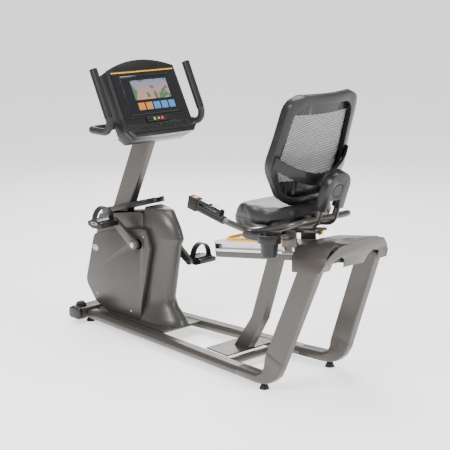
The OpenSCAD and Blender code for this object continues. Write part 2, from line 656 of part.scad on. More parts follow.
module foot_strap() difference() {
    pedal_strap();
    translate([0, -10, 0]) rotate([-90, 0, 0]) cylinder(d = spindle_d + 2, h = 30);
}
module at_pedal(s) at_crank() translate([s * pedal_at[0], s * pedal_in, s * pedal_at[1]])
    mirror([0, s < 0 ? 1 : 0, 0]) children();
module left_pedal() color(dark) at_pedal(-1) pedal_body();
module right_pedal() color(dark) at_pedal(1) pedal_body();
module left_strap() color(dark) at_pedal(-1) foot_strap();
module right_strap() color(dark) at_pedal(1) foot_strap();

module casing_screws() color(dark) both_sides() for (p = [[-325, -310], [-60, -350], [40, 40]]) at_crank()
    translate([p[0], casing_half, p[1]]) rotate([-90, 0, 0]) cylinder(d = 9, h = 1.6);

wheel_r = 31;
wheel_w = 24;
wheel_y = 143;
pin_d = 8;
carry_x = stab_x - 10;
carry_z = base_clear + stab_h - 8;
module transport_wheel() translate([carry_x, wheel_y, carry_z]) rotate([-90, 0, 0]) difference() {
    cylinder(r = wheel_r, h = wheel_w);
    translate([0, 0, -1]) cylinder(d = pin_d + 2 * rub, h = wheel_w + 2);
}
module left_transport_wheel() color(dark) mirror([0, 1, 0]) transport_wheel();
module right_transport_wheel() color(dark) transport_wheel();

// ---------- console ----------

face_x = mast_x + (console_z - mast_z) * tan(mast_lean) + 25;
console_d = 74;
drop = 114;                 // the console reaches this far below the glass
module face_outline(half, low, top, arch) polygon(concat(
    [[-half, low + 40], [-half + 30, low + 4], [half - 30, low + 4], [half, low + 40], [half - 6, top]],
    [for (k = [1 : 9]) let (s = 1 - 2 * k / 10) [s * (half - 6), top + arch * (1 - s * s)]],
    [[-half + 6, top]]));
module slab(front, back, half, low, top, arch) on_face() translate([back, 0, 0]) rotate([90, 0, 90])
    linear_extrude(front - back) face_outline(half, low, top, arch);
bezel_d = 16;
module console_bezel() color(grey) difference() {
    slab(0, -bezel_d, console_half, -drop, glass_h + 24, 42);
    on_face() translate([-4, -console_half + 17, 0]) cube([10, 2 * console_half - 34, glass_h]);
    on_face() translate([-6, -70, -36]) cube([10, 140, 26]);
}
module console_back() color(dark) difference() {
    union() {
        slab(-bezel_d, -console_d, console_half, -drop + 8, glass_h + 22, 38);
        slab(26, -console_d - 12, console_half - 4, -drop, -drop + 34, 0);
    }
    slab(-bezel_d + 1, -console_d + 4, console_half - 5, -drop + 40, glass_h + 15, 36);
    slab(0.2, -bezel_d - 0.2, console_half + 0.2, -drop - 0.2, glass_h + 24.2, 42);
    mast_hole(gap);
}
module touch_screen() color(dark) on_face() translate([-4, -console_half + 17 + gap, gap])
    cube([5, 2 * console_half - 34 - 2 * gap, glass_h - 2 * gap]);
key_y = 24;
key_s = 14;
module keypad() color(dark) on_face() difference() {
    translate([-5.8, -70 + gap, -36 + gap]) cube([11.8, 140 - 2 * gap, 26 - 2 * gap]);
    for (y = [-key_y, key_y]) translate([2, y - key_s / 2, -23 - key_s / 2]) cube([10, key_s, key_s]);
}
module key_cap(y) on_face() translate([4, y - key_s / 2 + gap, -23 - key_s / 2 + gap])
    cube([3.5, key_s - 2 * gap, key_s - 2 * gap]);
module start_key() color([0.1, 0.5, 0.2]) key_cap(-key_y);
module stop_key() color([0.7, 0.1, 0.08]) key_cap(key_y);

bar_low = console_z - 62;
bar_back = mast_x + (bar_low - mast_z) * tan(mast_lean) - mast_d / 2 / cos(mast_lean) - 40;
bar_elbow = [face_x + 33, bar_half, bar_low];
bar_tip = [face_x - 108, bar_half, console_z + 218];
bar_steel = 34;
bar_path = [[bar_tip[0], -bar_half, bar_tip[2]], [bar_elbow[0], -bar_half, bar_low], [bar_back, -bar_half, bar_low],
    [bar_back, bar_half, bar_low], bar_elbow, bar_tip];
module console_handlebar() color(dark) bent_tube(bar_path, [45, 45, 45, 45], bar_steel, bar_steel - 2 * tube_wall);
module console_grips() color(dark) both_sides() {
    d = unit(bar_tip - bar_elbow);
    difference() {
        rod(bar_elbow + d * 78, bar_tip + d * 6, bar_d);
        rod(bar_elbow + d * 76, bar_tip + d * 0.2, bar_steel + 0.2);
    }
}

// ---------- seat, on the carriage ----------

plate_t = 5;
plate_l = 92;
carriage_top = 134;
deck_w = 6;                 // thickness of the carriage's top plate
roller_u = 30;
axle_r = 5;
tube_y = 54;
tube_w = carriage_top + deck_w + seat_tube_d / 2;
lever_w = beam_h + track_h + 20;
lever_u = 14;               // the release lever's pivot
lever_half = 130;
lever_front = -360;
lever_d = 16;
pivot_d = 10;
module seat_carriage() color(steel) on_seat() {
    difference() {
        union() {
            both_sides() side_plate(rounded([[-plate_l / 2, 30, 6], [-plate_l / 2 + 14, carriage_top, 6],
                [plate_l / 2 + 6, carriage_top, 6], [plate_l / 2, 30, 6]], 3),
                seat_half_plate, seat_half_plate + plate_t);
            translate([-90, -84, carriage_top]) cube([150, 168, deck_w]);
            for (u = [-80, 38]) both_sides() translate([u, 34, carriage_top + deck_w])
                cube([22, 44, cushion_pan - carriage_top - deck_w - gap]);
            translate([20, -38, carriage_top - 12]) cube([120, 76, 12]);
        }
        both_sides() for (u = [-roller_u, roller_u]) translate([u, seat_half_plate - 1, groove_w])
            rotate([-90, 0, 0]) cylinder(r = axle_r + rub, h = plate_t + 2);
        both_sides() translate([-200, tube_y, tube_w]) rotate([0, 90, 0]) cylinder(d = seat_tube_d + 0.1, h = 600);
    }
    both_sides() translate([lever_u, seat_half_plate + plate_t, lever_w]) rotate([-90, 0, 0])
        cylinder(d = pivot_d, h = lever_half + 12 - seat_half_plate - plate_t);
}
module roller_pair(u) on_seat() both_sides() translate([u, 0, groove_w]) rotate([-90, 0, 0]) {
    translate([0, 0, rail_w / 2 - groove_d + 2]) cylinder(d = roller_d, h = groove_d - 4);
    translate([0, 0, rail_w / 2 - groove_d + 2]) cylinder(r = axle_r, h = groove_d + 12);
    translate([0, 0, seat_half_plate + plate_t + gap]) cylinder(r = axle_r + 4, h = 3);
}
module front_rollers() color(silver) roller_pair(-roller_u);
module rear_rollers() color(silver) roller_pair(roller_u);

module lever_bend() translate([lever_front + 95, -lever_half + 95, lever_w]) rotate([0, 0, 180])
    rotate_extrude(angle = 90) translate([95, 0]) circle(d = lever_d);
module release_lever() color(yellow) on_seat() difference() {
    union() {
        both_sides() rod([lever_u - 8, lever_half, lever_w], [lever_front + 95, lever_half, lever_w], lever_d);
        both_sides() lever_bend();
        rod([lever_front, -lever_half + 95, lever_w], [lever_front, lever_half - 95, lever_w], lever_d);
        both_sides() translate([lever_u, lever_half - 6, lever_w]) rotate([-90, 0, 0]) cylinder(d = 26, h = 12);
    }
    both_sides() translate([lever_u, lever_half - 20, lever_w]) rotate([-90, 0, 0])
        cylinder(d = pivot_d + 2 * rub, h = 40);
}

cushion_pan = tube_w + seat_tube_d / 2 + 2;      // underside of the cushion over the tubes
cushion_u = -300;           // front edge of the cushion
cushion_back = cushion_u + cushion_l;
cushion_top = cushion_w + cushion_t;
cushion_plan = rounded([[cushion_u, -108, 80], [-80, -cushion_half, 150], [30, -cushion_half, 70],
    [cushion_back, -120, 60], [cushion_back, 120, 60], [30, cushion_half, 70],
    [-80, cushion_half, 150], [cushion_u, 108, 80]]);
cushion_side = rounded([[cushion_u - 4, cushion_w + 2, 8], [cushion_u + 60, cushion_w - 6, 40],
    [-150, cushion_w - 8, 60], [-100, cushion_w, 30], [40, cushion_w, 60],
    [cushion_back + 4, cushion_w + 24, 8], [cushion_back + 4, cushion_top, 18], [30, cushion_top, 60],
    [-100, cushion_top + 19, 80], [-185, cushion_top + 26, 60], [cushion_u + 66, cushion_top - 4, 40],
    [cushion_u - 4, cushion_w + 22, 9]]);
module seat_cushion() color(grey) on_seat() difference() {
    intersection() {
        translate([0, 0, cushion_w - 40]) linear_extrude(200) polygon(cushion_plan);
        side_plate(cushion_side, -300, 300);
    }
    side_plate([[-130, cushion_w - 50], [-130, cushion_pan], [300, cushion_pan], [300, cushion_w - 50]], -88, 88);
    both_sides() side_plate([[-170, cushion_w - 50], [-170, cushion_w + 13], [66, cushion_w + 13],
        [66, cushion_w - 50]], side_y - 24, 400);
}

tube_bend_u = 161;
tube_dir = back_lean + 2;
tube_up = 200;              // length of the tubes above their bend
module backrest_tubes() color(steel) on_seat() both_sides() {
    top = [tube_bend_u + tube_up * sin(tube_dir), tube_y, tube_w + tube_up * cos(tube_dir)];
    bent_tube([[-60, tube_y, tube_w], [tube_bend_u, tube_y, tube_w], top], [50], seat_tube_d, seat_tube_d - 2 * tube_wall);
}
shroud_h = 176;
shroud_t = 38;
shroud_low = 76;            // distance of the shroud's feet from the tube bend, along the tubes
module on_shroud() on_seat() translate([tube_bend_u, 0, tube_w]) rotate([0, tube_dir, 0])
    translate([0, 0, shroud_low]) children();
shroud_half = tube_y + seat_tube_d / 2 + 4;
module backrest_shroud() color(grey) on_shroud() difference() {
    translate([-shroud_t / 2, 0, 0]) rotate([90, 0, 90]) linear_extrude(shroud_t) difference() {
        polygon(concat([[-shroud_half, 0], [-tube_y + 18, 0], [-tube_y + 22, 46], [tube_y - 22, 46], [tube_y - 18, 0],
            [shroud_half, 0]], [for (a = [0 : 10 : 180]) [shroud_half * cos(a), shroud_h - 70 + 70 * sin(a)]]));
    }
    both_sides() translate([0, tube_y, -1]) cylinder(d = seat_tube_d + 0.1, h = tube_up - shroud_low + 2);
    translate([shroud_t / 2 - 4, 0, 92]) rotate([0, 90, 0]) difference() {
        cylinder(d = 62, h = 6);
        translate([0, 0, -1]) cylinder(d = 56, h = 8);
    }
}

back_foot = [60, cushion_top + 7];      // lower end of the backrest's centre line, u and w
module on_back() on_seat() translate([back_foot[0], 0, back_foot[1]]) rotate([0, back_lean, 0]) children();
wrap = 38;                  // the backrest's edges stand this far forward of its middle
wrap_r = (back_half * back_half + wrap * wrap) / (2 * wrap);
function back_outline(e) = rounded([[-90, e, 50], [-150, 25 + e, 80], [-back_half + e, 165, 140],
    [-back_half + 14 + e, back_h * 0.6, 200], [-back_half + 26 + e, back_h - e, 78], [back_half - 26 - e, back_h - e, 78],
    [back_half - 14 - e, back_h * 0.6, 200], [back_half - e, 165, 140], [150, 25 + e, 80], [90, e, 50]]);
band = 36;
band_t = 34;
// A sheet bowed forward at its sides, t thick, its back face e in front of the frame's back.
module bowed(e, t, h) translate([-wrap_r, 0, 0]) rotate([0, 0, -60]) rotate_extrude(angle = 120, $fn = 180)
    translate([wrap_r - e - t, -20]) square([t, h + 40]);
module backrest_frame() color(dark) on_back() intersection() {
    bowed(0, band_t, back_h);
    translate([-wrap_r, 0, 0]) rotate([90, 0, 90]) linear_extrude(2 * wrap_r) difference() {
        polygon(back_outline(0));
        polygon(back_outline(band));
    }
}
mesh_t = 3;
module backrest_mesh() color(grey) on_back() intersection() {
    bowed(band_t - mesh_t - 4, mesh_t, back_h);
    translate([-wrap_r, 0, 0]) rotate([90, 0, 90]) linear_extrude(2 * wrap_r)
        polygon(back_outline(band + gap));
}
yoke_w = 54;                // height of the yoke's band
yoke_back = 96;             // how far the yoke's middle stands behind the frame
module backrest_yoke() color(dark) on_back() {
    arc_r = (back_half * back_half + yoke_back * yoke_back) / (2 * yoke_back);
    half = asin((back_half - 12) / arc_r);
    steps = 10;
    for (i = [0 : steps - 1]) {
        a = -half + 2 * half * i / steps;
        b = -half + 2 * half * (i + 1) / steps;
        lift = function (t) 206 - 66 * cos(90 * t / half);
        hull() for (t = [a, b]) translate([-arc_r + yoke_back + arc_r * cos(t) - wrap * 1.05, arc_r * sin(t), lift(t)])
            cube([14, 1, yoke_w], center = true);
    }
}

bar_tube_d = 28;
side_y = 190;
grip_y = 270;
seat_bar = [[170, 0, 182], [170, side_y - 20, 180], [90, side_y - 2, 164], [-90, side_y + 2, 144],
    [-155, grip_y - 6, 198], [-354, grip_y, 274]];
module seat_handlebar() color(steel) on_seat()
    bent_tube(concat([for (i = [5 : -1 : 1]) [seat_bar[i][0], -seat_bar[i][1], seat_bar[i][2]]],
        [for (i = [1 : 5]) seat_bar[i]]), [40, 60, 60, 60, 60, 60, 60, 40], bar_tube_d, bar_tube_d - 2 * tube_wall, 16);
grip_from = 18;
grip_l = 212;
module seat_grip() {
    a = seat_bar[4];
    d = unit(seat_bar[5] - a);
    z = unit(cross(d, [0, 1, 0])) * (cross(d, [0, 1, 0])[2] < 0 ? -1 : 1);
    y = cross(z, d);
    on_seat() placed(a + d * grip_from, d, y, z) difference() {
        union() {
            rotate([0, 90, 0]) cylinder(d = 36, h = grip_l - 20);
            translate([20, -15, 10]) cube([grip_l - 45, 30, 26]);
            translate([grip_l - 50, -19, -18]) cube([50, 38, 56]);
        }
        translate([-1, 0, 0]) rotate([0, 90, 0]) cylinder(d = bar_tube_d + 0.3, h = norm(seat_bar[5] - a) - grip_from + 1);
        translate([42, -30, 17.5]) cube([grip_l - 105, 60, 9]);
        translate([grip_l - 26, 0, 32]) cylinder(d = 20 + 2 * gap, h = 10);
    }
}
module grip_button() {
    a = seat_bar[4];
    d = unit(seat_bar[5] - a);
    z = unit(cross(d, [0, 1, 0])) * (cross(d, [0, 1, 0])[2] < 0 ? -1 : 1);
    y = cross(z, d);
    on_seat() placed(a + d * grip_from, d, y, z) translate([grip_l - 26, 0, 34]) cylinder(d = 20, h = 6);
}
module left_seat_grip() color(steel) mirror([0, 1, 0]) seat_grip();
module right_seat_grip() color(steel) seat_grip();
module left_grip_button() color(yellow) mirror([0, 1, 0]) grip_button();
module right_grip_button() color(yellow) grip_button();

cup_at = [84, -256, 148];
cup_bore = 74;
cup_h = 92;
module cup_holder() color(grey) on_seat() translate(cup_at) rotate([0, rail_tilt, 0]) difference() {
    union() {
        translate([0, 0, -cup_h]) cylinder(d1 = 70, d2 = 80, h = cup_h);
        translate([0, 0, -34]) cylinder(d = cup_d, h = 34);
        translate([-165, 8, -42]) cube([155, 36, 26]);
        translate([-150, 8, -44]) cube([60, 183, 6]);
    }
    translate([0, 0, -cup_h + 4]) cylinder(d = 64, h = cup_h - 30);
    translate([0, 0, -34]) cylinder(d = cup_bore, h = 40);
}

base_rails();
front_stabiliser();
stabiliser_caps();
front_deck();
rear_cross_plate();
corner_castings();
hoop_legs();
hoop_cover();
levelling_feet();
seat_post();
rail_beam();
seat_rail();
rail_end_cap();
console_mast();
left_casing();
right_casing();
casing_top();
casing_spine();
mast_tray();
drive_frame();
crank_bearings();
drive_belt();
casing_screws();
console_bezel();
console_back();
touch_screen();
keypad();
console_handlebar();
console_grips();
start_key();
stop_key();
crank_axle();
drive_pulley();
left_crank();
right_crank();
pedal_spindles();
left_pedal();
left_strap();
right_pedal();
right_strap();
flywheel();
flywheel_shaft();
left_transport_wheel();
right_transport_wheel();
seat_carriage();
front_rollers();
rear_rollers();
release_lever();
seat_cushion();
backrest_tubes();
backrest_shroud();
backrest_yoke();
backrest_frame();
backrest_mesh();
seat_handlebar();
left_seat_grip();
right_seat_grip();
left_grip_button();
right_grip_button();
cup_holder();
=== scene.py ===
# %% [markdown]
# # A recumbent exercise bike
# The imported solid model already gives every part its place, so this lesson dresses it: finishes for
# painted steel, moulded plastic, rubber and woven mesh first, then the pieces that solids can't give,
# such as the swollen seat pad, its piping, the lit display and the ribbed shelf under it.

# %% Load the frame
import json
from math import radians, sin, cos, pi

import bmesh
import bpy
from mathutils import Matrix, Vector


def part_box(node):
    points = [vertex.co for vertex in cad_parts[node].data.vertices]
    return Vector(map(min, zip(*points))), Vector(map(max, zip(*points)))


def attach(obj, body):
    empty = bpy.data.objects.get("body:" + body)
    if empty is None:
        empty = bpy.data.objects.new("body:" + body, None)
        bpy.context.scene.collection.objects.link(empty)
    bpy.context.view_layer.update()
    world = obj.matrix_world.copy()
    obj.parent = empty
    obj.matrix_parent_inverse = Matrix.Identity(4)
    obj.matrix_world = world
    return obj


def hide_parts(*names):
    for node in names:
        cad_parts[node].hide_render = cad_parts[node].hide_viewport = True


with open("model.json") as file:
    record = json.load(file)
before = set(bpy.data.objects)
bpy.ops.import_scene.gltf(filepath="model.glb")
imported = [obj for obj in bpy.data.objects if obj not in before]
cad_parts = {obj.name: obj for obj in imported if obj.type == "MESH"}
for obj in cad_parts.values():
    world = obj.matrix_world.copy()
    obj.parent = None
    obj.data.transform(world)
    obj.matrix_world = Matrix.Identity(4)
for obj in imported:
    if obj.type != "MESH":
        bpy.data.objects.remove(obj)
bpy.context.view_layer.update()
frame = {"nodes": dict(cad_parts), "record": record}
nodes = frame["nodes"]

# %% [markdown]
# ## Working by hand, in code
# The operators act on whatever is selected. A few helpers clear the selection, pick one object, and
# finish a piece: its place goes into its mesh, its finish goes on, and it rides on its body. Lengths
# are in metres and angles in degrees, unless a line says otherwise.

# %% Hands
MERGE = 0.00001          # corners nearer than this are one corner
SOFT_EDGE = 40           # an edge milder than this is shaded smooth
ROUND_EDGE = 80          # the same, on cushions, cords and rings


def pick(obj):
    bpy.ops.object.select_all(action="DESELECT")
    obj.select_set(True)
    bpy.context.view_layer.objects.active = obj


def enter_edit(obj, action="SELECT"):
    pick(obj)
    bpy.ops.object.mode_set(mode="EDIT")
    bpy.ops.mesh.select_all(action=action)


def leave_edit():
    bpy.ops.object.mode_set(mode="OBJECT")


def apply_all(obj):
    pick(obj)
    for modifier in list(obj.modifiers):
        bpy.ops.object.modifier_apply(modifier=modifier.name)


# %% [markdown]
# ## Finishing, copying and cutting
# A solid of the frame is loose triangles, so a copy of one is merged before it is shaped. A cut is
# one flat slice that keeps either side of the piece, or only the line of the slice.

# %% Finish, copy and cut
def finish_piece(obj, name, body, material, angle=SOFT_EDGE):
    obj.name = obj.data.name = name
    pick(obj)
    bpy.ops.object.transform_apply(location=True, rotation=True, scale=True)
    obj.data.materials.clear()
    obj.data.materials.append(material)
    bpy.ops.object.shade_smooth_by_angle(angle=radians(angle))
    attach(obj, body)
    print("made", name, len(obj.data.polygons), "faces")
    return obj


def copy_of(node):
    obj = bpy.data.objects.new(node + "_copy", nodes[node].data.copy())
    bpy.context.scene.collection.objects.link(obj)
    enter_edit(obj)
    bpy.ops.mesh.remove_doubles(threshold=MERGE)
    leave_edit()
    return obj


def cut(obj, point, normal, fill=True, inner=False, outer=True):
    enter_edit(obj)
    bpy.ops.mesh.bisect(plane_co=point, plane_no=normal, use_fill=fill, clear_inner=inner,
                        clear_outer=outer)
    leave_edit()


# %% [markdown]
# ## Three tilted work planes
# The seat rides along a sloping rail, the display leans back on its mast, and the backrest leans
# again. A point is easier to think of in the plane of its own part, so each plane gets a matrix.

# %% Work planes
def plane(origin, x_axis, z_axis):
    x, z = Vector(x_axis).normalized(), Vector(z_axis).normalized()
    rows = Matrix((x, z.cross(x), z)).transposed().to_4x4()
    return Matrix.Translation(Vector(origin)) @ rows


def leaning(origin, tilt):
    return plane(origin, (cos(tilt), 0, sin(tilt)), (-sin(tilt), 0, cos(tilt)))


RAIL_RISE = 8.2
RECLINE = 25                            # of the backrest, from square to the rail
RAIL_TILT = radians(RAIL_RISE)
FACE_LEAN = radians(27.5)
BACK_LEAN = radians(RECLINE - RAIL_RISE)
RAIL_FOOT = (0.053, 0, 0.476)
SEAT_U = 0.471                          # from the rail's foot to the seat, along the rail
BACK_FOOT = (0.060, 0, 0.243)           # of the backrest, in the seat's plane
RAIL = leaning(RAIL_FOOT, RAIL_TILT)
SEAT = RAIL @ Matrix.Translation((SEAT_U, 0, 0))
FACE = leaning((-0.4224, 0, 1.085), FACE_LEAN)
BACK = SEAT @ Matrix.Translation(BACK_FOOT) @ Matrix.Rotation(radians(RECLINE), 4, "Y")
CRANK = Vector((-0.464, 0, 0.455))
WORLD = Matrix.Identity(4)
SIDES = (("left", -1, "-Y"), ("right", 1, "Y"))     # name, sign of y, direction that faces out
print("seat origin", SEAT.translation, "display origin", FACE.translation)

# %% [markdown]
# ## Shader sums that read like sums
# A `Field` holds one output of a node. Adding or multiplying two of them adds a Math node, so a
# pattern is written as a formula.

# %% Fields
class Field:
    def __init__(self, finish, socket):
        self.finish, self.socket = finish, socket

    def maths(self, operation, a, b=0.0, c=0.0):
        return self.finish.node("ShaderNodeMath", {"operation": operation}, {0: a, 1: b, 2: c})

    def __add__(self, other):
        return self.maths("ADD", self, other)

    def __radd__(self, other):
        return self.maths("ADD", other, self)

    def __sub__(self, other):
        return self.maths("SUBTRACT", self, other)

    def __rsub__(self, other):
        return self.maths("SUBTRACT", other, self)

    def __mul__(self, other):
        return self.maths("MULTIPLY", self, other)

    def __rmul__(self, other):
        return self.maths("MULTIPLY", other, self)

    def __gt__(self, other):
        return self.maths("GREATER_THAN", self, other)

    def __lt__(self, other):
        return self.maths("LESS_THAN", self, other)

    def sine(self):
        return self.maths("SINE", self)

    def wrap(self, size):
        return self.maths("WRAP", self, size)

    def within(self, low, high):
        return (self > low) * (self < high)


# %% [markdown]
# ## One material, one Finish
# `Finish.node` makes any node: its settings go in first, then the values or links of its sockets.
# The other methods are the few nodes that every finish of the bike shares. A Mix node has a set of
# sockets for each kind of value, so the ones for colours are named here by their numbers.

# %% Finishes, the class
COLOUR_A, COLOUR_B, COLOUR_OUT = 6, 7, 2
NOISE_DETAIL = 3.0


def as_colour(value):
    return (*value, 1) if isinstance(value, tuple) else value


class Finish:
    def __init__(self, name):
        self.material = bpy.data.materials.new(name)
        self.material.use_nodes = True
        self.tree = self.material.node_tree
        self.shader = self.tree.nodes["Principled BSDF"]
        self.place = self.node("ShaderNodeTexCoord", {}, {}, "Object")
        self.x, self.y, self.z = (self.node("ShaderNodeSeparateXYZ", {}, {0: self.place}, i)
                                  for i in range(3))

    def node(self, kind, settings, inputs, out=0):
        made = self.tree.nodes.new(kind)
        for key, value in settings.items():
            setattr(made, key, value)
        for key, value in inputs.items():
            self.feed(made.inputs[key], value)
        return Field(self, made.outputs[out])

    def feed(self, socket, value):
        if isinstance(value, Field):
            self.tree.links.new(value.socket, socket)
        else:
            socket.default_value = as_colour(value)

    def put(self, name, value):
        self.feed(self.shader.inputs[name], value)

    def noise(self, scale):
        return self.node("ShaderNodeTexNoise", {},
                         {"Vector": self.place, "Scale": scale, "Detail": NOISE_DETAIL})

    def grain(self, scale):
        return self.node("ShaderNodeTexVoronoi", {}, {"Vector": self.place, "Scale": scale})

    def mix(self, share, a, b):
        return self.node("ShaderNodeMix", {"data_type": "RGBA"},
                         {"Factor": share, COLOUR_A: a, COLOUR_B: b}, COLOUR_OUT)

    def wear(self, low, high, scale=4.0):
        return low + (high - low) * self.noise(scale)

    def bump(self, height, distance, strength=0.6):
        self.put("Normal", self.node("ShaderNodeBump", {},
                                     {"Strength": strength, "Distance": distance, "Height": height}))


# %% [markdown]
# ## Finishes
# The frame is a warm grey metallic paint with a fine orange-peel surface. Mouldings have a spark
# texture, rubber is nearly matt, and machined steel is bright with a very fine grain. Each varies a
# little in colour and roughness, as handled surfaces do.

# %% Plain finishes
METAL_SHINE, PLASTIC_SHINE = 0.5, 0.28


def surface(name, dark, light, rough, metal=0.0, grain=0.0, grain_depth=0.0, coat=0.0, patch=5.0):
    finish = Finish(name)
    finish.put("Base Color", finish.mix(finish.noise(patch), dark, light))
    finish.put("Roughness", finish.wear(*rough, patch * 3))
    finish.put("Metallic", metal)
    finish.put("Coat Weight", coat)
    finish.put("Specular IOR Level", METAL_SHINE if metal else PLASTIC_SHINE)
    if grain:
        finish.bump(finish.noise(grain), grain_depth)
    return finish


PLAIN = {     # slot: name, darkest and lightest colour, least and most rough, metal, grain, its depth, coat
    "frame_paint": ("warm_grey_paint", (.066, .059, .053), (.084, .075, .068), (.28, .40),
                    .5, 900, .00012, .12),
    "casing_plastic": ("casing_paint", (.050, .045, .041), (.064, .058, .053), (.32, .44),
                       .4, 1300, .00012, .1),
    "dark_plastic": ("charcoal_moulding", (.0065, .0065, .007), (.011, .011, .0115), (.30, .42),
                     0, 1600, .00006, .15),
    "screen_glass": ("black_glass", (.006, .006, .007), (.010, .010, .011), (.05, .10), 0, 0, 0, .5),
    "black_rubber": ("matt_rubber", (.006, .006, .006), (.011, .011, .011), (.42, .56), 0, 900, .0001),
    "black_paint": ("satin_black", (.016, .016, .016), (.026, .026, .026), (.36, .5), 0, 900, .0001),
    "machined_steel": ("turned_steel", (.42, .42, .42), (.55, .55, .55), (.22, .34), 1.0, 1500, .00004),
    "cast_iron": ("cast_wheel", (.16, .16, .16), (.24, .24, .24), (.4, .6), 1.0, 500, .0002),
    "aluminium": ("anodised_rail", (.58, .58, .59), (.68, .68, .69), (.24, .36), .85, 1500, .00004),
    "crank_paint": ("crank_paint", (.060, .056, .052), (.085, .079, .073), (.30, .42),
                    .5, 900, .0001, .2),
    "strap_rubber": ("strap_rubber", (.012, .012, .012), (.020, .020, .020), (.45, .6), 0, 800, .0002),
    "yellow_paint": ("yellow_coating", (.70, .34, .012), (.80, .42, .02), (.28, .4), 0, 900, .0001, .25),
    "key_green": ("green_key", (.05, .34, .10), (.07, .42, .13), (.35, .45), 0, 1500, .0001),
    "key_red": ("red_key", (.50, .04, .03), (.60, .06, .04), (.35, .45), 0, 1500, .0001),
}
FINISHES = {slot: surface(*row) for slot, row in PLAIN.items()}
print("plain finishes", len(FINISHES))

# %% [markdown]
# ## Seat vinyl
# The vinyl has a leather grain of small cells, with a slower unevenness under it. The pad's lower
# side is black and its top dark grey, so the colour changes at one height above the rail.

# %% Seat vinyl
VINYL_DARK, VINYL_LIGHT, PAD_BLACK = (.020, .020, .021), (.030, .030, .031), (.005, .005, .005)
PAD_BAND = 0.196                        # above the rail's plane, where the black side ends
vinyl = surface("seat_vinyl", VINYL_DARK, VINYL_LIGHT, (.30, .42))
vinyl.bump(vinyl.grain(420) + vinyl.noise(60) * 0.5, .0003, .3)
above_rail = vinyl.z * cos(RAIL_TILT) - vinyl.x * sin(RAIL_TILT)
rail_height = RAIL_FOOT[2] * cos(RAIL_TILT) - RAIL_FOOT[0] * sin(RAIL_TILT)
vinyl_top = vinyl.mix(vinyl.noise(7), VINYL_DARK, VINYL_LIGHT)
vinyl.put("Base Color", vinyl.mix(above_rail < rail_height + PAD_BAND, vinyl_top, PAD_BLACK))
FINISHES["seat_vinyl"] = vinyl
print("the pad turns black below", round(rail_height + PAD_BAND, 4))

# %% [markdown]
# ## Seat mesh
# The mesh is two sets of light threads over charcoal. Two sines cross at a slant, their product
# says where a thread shows, and the same product lifts it.

# %% Seat mesh
THREAD_WIDE, THREAD_TALL = 0.0125, 0.0110
mesh_cloth = Finish("woven_mesh")
weft = mesh_cloth.y * (2 * pi / THREAD_WIDE)
warp = (mesh_cloth.z * cos(BACK_LEAN) + mesh_cloth.x * sin(BACK_LEAN)) * (2 * pi / THREAD_TALL)
weave = (weft + warp * 0.5).sine() * (weft * 0.5 - warp).sine()
mesh_cloth.put("Base Color", mesh_cloth.mix(weave > -0.05, (.010, .010, .011), (.40, .40, .39)))
mesh_cloth.put("Roughness", mesh_cloth.wear(.7, .9))
mesh_cloth.put("Metallic", 0.0)
mesh_cloth.put("Specular IOR Level", 0.2)
mesh_cloth.bump(weave, .0012, .8)
FINISHES["seat_mesh"] = mesh_cloth
print("threads every", THREAD_WIDE, "by", THREAD_TALL)

# %% [markdown]
# ## Finishes onto the solids
# The record of the part names a slot for each node. Each slot has its finish by now, so one loop
# puts them all on, and notes the slot and the body of every node for the copies made later.

# %% Finishes onto the solids
SLOT_OF = {row["node"]: row["material_slot"] for row in frame["record"]["subparts"]}
BODY_OF = {node: body for body, held in frame["record"]["behaviour"]["bodies"].items()
           for node in held}
for node, slot in SLOT_OF.items():
    nodes[node].data.materials.clear()
    nodes[node].data.materials.append(FINISHES[slot].material)
print("finished solids", len(SLOT_OF), "with finishes", len(FINISHES))


# %% [markdown]
# ## A rounded block, and a plate
# Buckles, stripes and lips are all small plates. A cube is given its size and its rim is bevelled,
# and then the face that shows is inset and pressed in a little, as a mould does.

# %% Block and plate
STRAIGHT_ON = 0.95          # cosine of the widest angle between a face and where it should face


def front_faces(obj, direction):
    enter_edit(obj, "DESELECT")
    mesh = bmesh.from_edit_mesh(obj.data)
    mesh.normal_update()
    for face in mesh.faces:
        face.select = face.normal.dot(Vector(direction)) > STRAIGHT_ON
    mesh.select_flush_mode()
    bmesh.update_edit_mesh(obj.data)


def rounded_block(size, bevel, segments=3):
    bpy.ops.object.select_all(action="DESELECT")
    bpy.ops.mesh.primitive_cube_add(size=1, location=(0, 0, 0))
    obj = bpy.context.object
    obj.scale = size
    bpy.ops.object.transform_apply(scale=True)
    enter_edit(obj)
    bpy.ops.mesh.bevel(offset=bevel, segments=segments, affect="EDGES")
    leave_edit()
    return obj


# bevel rolls the rim, rim is its width round the face, and press is how deep the face lies in it
def plate(base, middle, size, name, body, slot, bevel, press, rim, face=(1, 0, 0), material=None):
    obj = rounded_block(size, bevel)
    front_faces(obj, face)
    bpy.ops.mesh.inset(thickness=rim, depth=-press)
    leave_edit()
    obj.matrix_world = base @ Matrix.Translation(middle)
    return finish_piece(obj, name, body, (material or FINISHES[slot]).material)


# %% [markdown]
# ## A disc
# Bolts, keys, caps and badges are discs. The face of a cylinder is inset three times: the first
# rolls its edge, the second leaves a rim, and the third presses the middle in.

# %% Disc
DISC_ROLL, DISC_PRESS, DISC_GROOVE = 0.0012, 0.0008, 0.0006
DISC_RIM = 0.18                         # of the radius
FACING = {"X": Matrix.Rotation(pi / 2, 4, "Y"), "Y": Matrix.Rotation(-pi / 2, 4, "X"),
          "-Y": Matrix.Rotation(pi / 2, 4, "X"), "Z": Matrix.Identity(4)}


